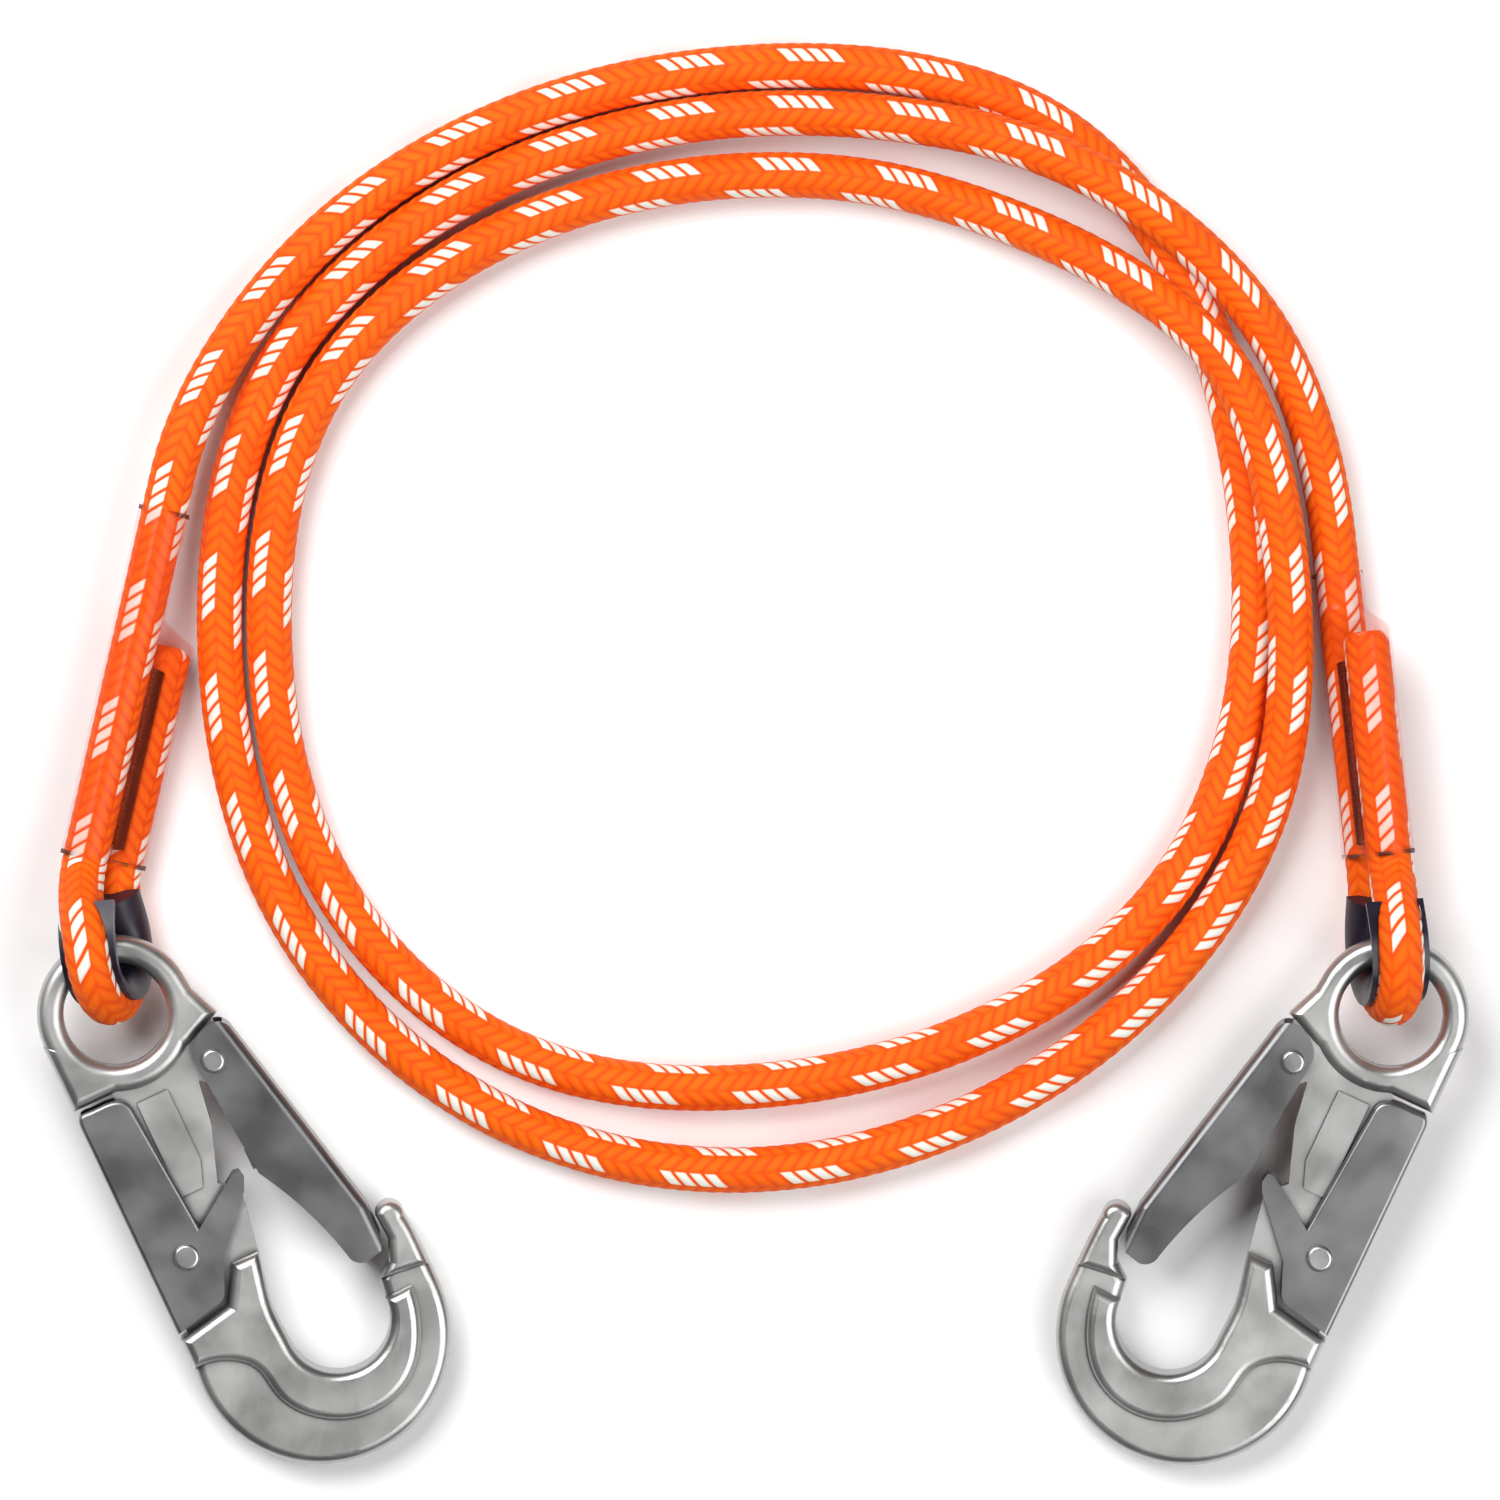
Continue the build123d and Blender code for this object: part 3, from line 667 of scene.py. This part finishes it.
def build_stitching(end, material):
    """Zigzag rows of thread in both valleys between the legs."""
    normal = np.cross(end.up_rope, end.across)
    start = end.foot - STITCH_LENGTH - STITCH_END
    crossings = int(STITCH_LENGTH / STITCH_PITCH)
    valley = math.sqrt(ROPE_R**2 - (LEG_SPACING / 2 - STITCH_REACH) ** 2)
    for row, upside in (("upper", 1), ("lower", -1)):
        points = []
        for number in range(crossings * 2):
            across = STITCH_REACH if number % 2 else -STITCH_REACH
            for share in (0.1, 0.5, 0.9):
                x = across * (2 * share - 1)
                height = valley + STITCH_RISE * math.sin(math.pi * share)
                along = start + (number + share) * STITCH_PITCH / 2
                points.append(end.leg(along, 0) + end.across * x + normal * upside * height)
        thread = tube(f"{end.name}_thread_{row}", np.array(points), THREAD_R, material)
        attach(thread, f"{end.name}_rope_end")
        if row == "upper":
            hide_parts(f"{end.name}_stitching")


# ---------------------------------------------------------------- springs
def hook_axes(end):
    """The hook's own x direction, towards its spine, and y direction, towards its eye."""
    gate = np.array(joints[f"{end.name}_gate_hinge"]["pos_m"]) - end.eye
    quarter = np.cross(end.through, unit(gate))
    turn = math.atan2(GATE_PIVOT[1], GATE_PIVOT[0])
    x_way = unit(gate) * math.cos(turn) - quarter * math.sin(turn)
    y_way = np.cross(end.through, x_way)
    return x_way, y_way


def build_lever_spring(end, material):
    """Compression spring for the lever, a helix of wire fixed to the hook."""
    x_way, y_way = hook_axes(end)
    turn = np.linspace(0, 1, SPRING_TURNS * SPRING_STEPS)
    angle = turn * SPRING_TURNS * 2 * math.pi
    x = SPRING_START + turn * SPRING_LENGTH
    seat = end.eye + y_way * SPRING_Y
    points = (seat + x[:, None] * x_way + SPRING_R * np.cos(angle)[:, None] * y_way
              + SPRING_R * np.sin(angle)[:, None] * end.through)
    wire = tube(f"{end.name}_lever_spring_wire", points, SPRING_WIRE_R, material)
    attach(wire, f"{end.name}_hook")
    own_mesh(wire)
    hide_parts(f"{end.name}_lever_spring")


# ---------------------------------------------------------------- stage
FLOOR_HALF = 3.0
FLOOR_DROP = 0.0004  # keeps the floor clear of what lies on it
LAMPS = {  # place, width and power
    "key": ((-0.7, 0.8, 1.4), 1.2, 36),
    "fill": ((0.9, -0.5, 1.3), 1.4, 23),
}
CAMERA_HEIGHT = 3.0
VIEW_WIDTH = 0.3415
VIEW_CENTRE = (-0.0015, 0.0027)


def build_floor():
    """Large plain floor."""
    half = FLOOR_HALF
    corners = [(x, y, -FLOOR_DROP) for x, y in ((-half, -half), (half, -half), (half, half), (-half, half))]
    new_mesh("floor", corners, [[0, 1, 2, 3]], pale_floor())


def build_sky():
    """White surroundings, brighter near the horizon than overhead."""
    world = bpy.data.worlds.new("soft_sky")
    world.use_nodes = True
    sky = world.node_tree
    direction = sky.nodes.new("ShaderNodeTexCoord").outputs["Generated"]
    height = sky.nodes.new("ShaderNodeSeparateXYZ")
    sky.links.new(direction, height.inputs[0])
    dim = sky.nodes.new("ShaderNodeMapRange")
    sky.links.new(height.outputs[2], dim.inputs["Value"])
    for socket, value in (("From Min", 0.70), ("From Max", 0.99), ("To Min", 1.2), ("To Max", 0.55)):
        dim.inputs[socket].default_value = value
    sky.links.new(dim.outputs[0], sky.nodes["Background"].inputs["Strength"])
    bpy.context.scene.world = world


def build_lamp(name, place, size, power):
    """Square soft light aimed at the middle of the floor."""
    light = bpy.data.lights.new(name, "AREA")
    light.size = size
    light.energy = power
    lamp = bpy.data.objects.new(name, light)
    lamp.location = place
    aim = -np.array(place)
    lamp.rotation_euler = (math.atan2(math.hypot(aim[0], aim[1]), -aim[2]), 0,
                           math.atan2(aim[1], aim[0]) - math.pi / 2)
    bpy.context.scene.collection.objects.link(lamp)


def build_camera():
    """Camera straight above, as in the photograph."""
    camera = bpy.data.cameras.new("camera")
    camera.lens = camera.sensor_width * CAMERA_HEIGHT / VIEW_WIDTH
    viewer = bpy.data.objects.new("camera", camera)
    viewer.location = (*VIEW_CENTRE, CAMERA_HEIGHT)
    bpy.context.scene.collection.objects.link(viewer)
    bpy.context.scene.camera = viewer
    bpy.context.scene.view_settings.view_transform = "Standard"


# ---------------------------------------------------------------- everything together
rope_look = rope_cover()
build_rope(rope_look)
film_look = shrink_film()
edge_look = film_edge()
thread_look = sewing_thread()
for end in ends:
    build_sleeve(end, film_look, edge_look)
    build_stitching(end, thread_look)

LOOKS = {
    # the forged body gets painted shade in its corners
    "hook_body": steel("forged_steel", (0.52, 0.52, 0.51), 0.36, 640.0, 0.3, shaded_corners=True),
    "gate": steel("gate_steel", (0.23, 0.23, 0.235), 0.34, 620.0, 0.1),
    "lock_lever": steel("lever_steel", (0.27, 0.27, 0.275), 0.34, 620.0, 0.1),
    "gate_rivet": steel("rivet_steel", (0.52, 0.52, 0.52), 0.28, 1500.0, 0.1),
    "gate_spring": steel("spring_steel", (0.50, 0.50, 0.51), 0.25, 1800.0, 0.1),
    "thimble": thimble_plastic(),
}
LOOKS["lever_rivet"] = LOOKS["gate_rivet"]
for end in ends:
    build_lever_spring(end, LOOKS["gate_spring"])
    for piece, look in LOOKS.items():
        node = frame["nodes"][f"{end.name}_{piece}"]
        node.data.materials.clear()
        node.data.materials.append(look)

build_floor()
build_sky()
for lamp_name, (place, size, power) in LAMPS.items():
    build_lamp(lamp_name, place, size, power)
build_camera()
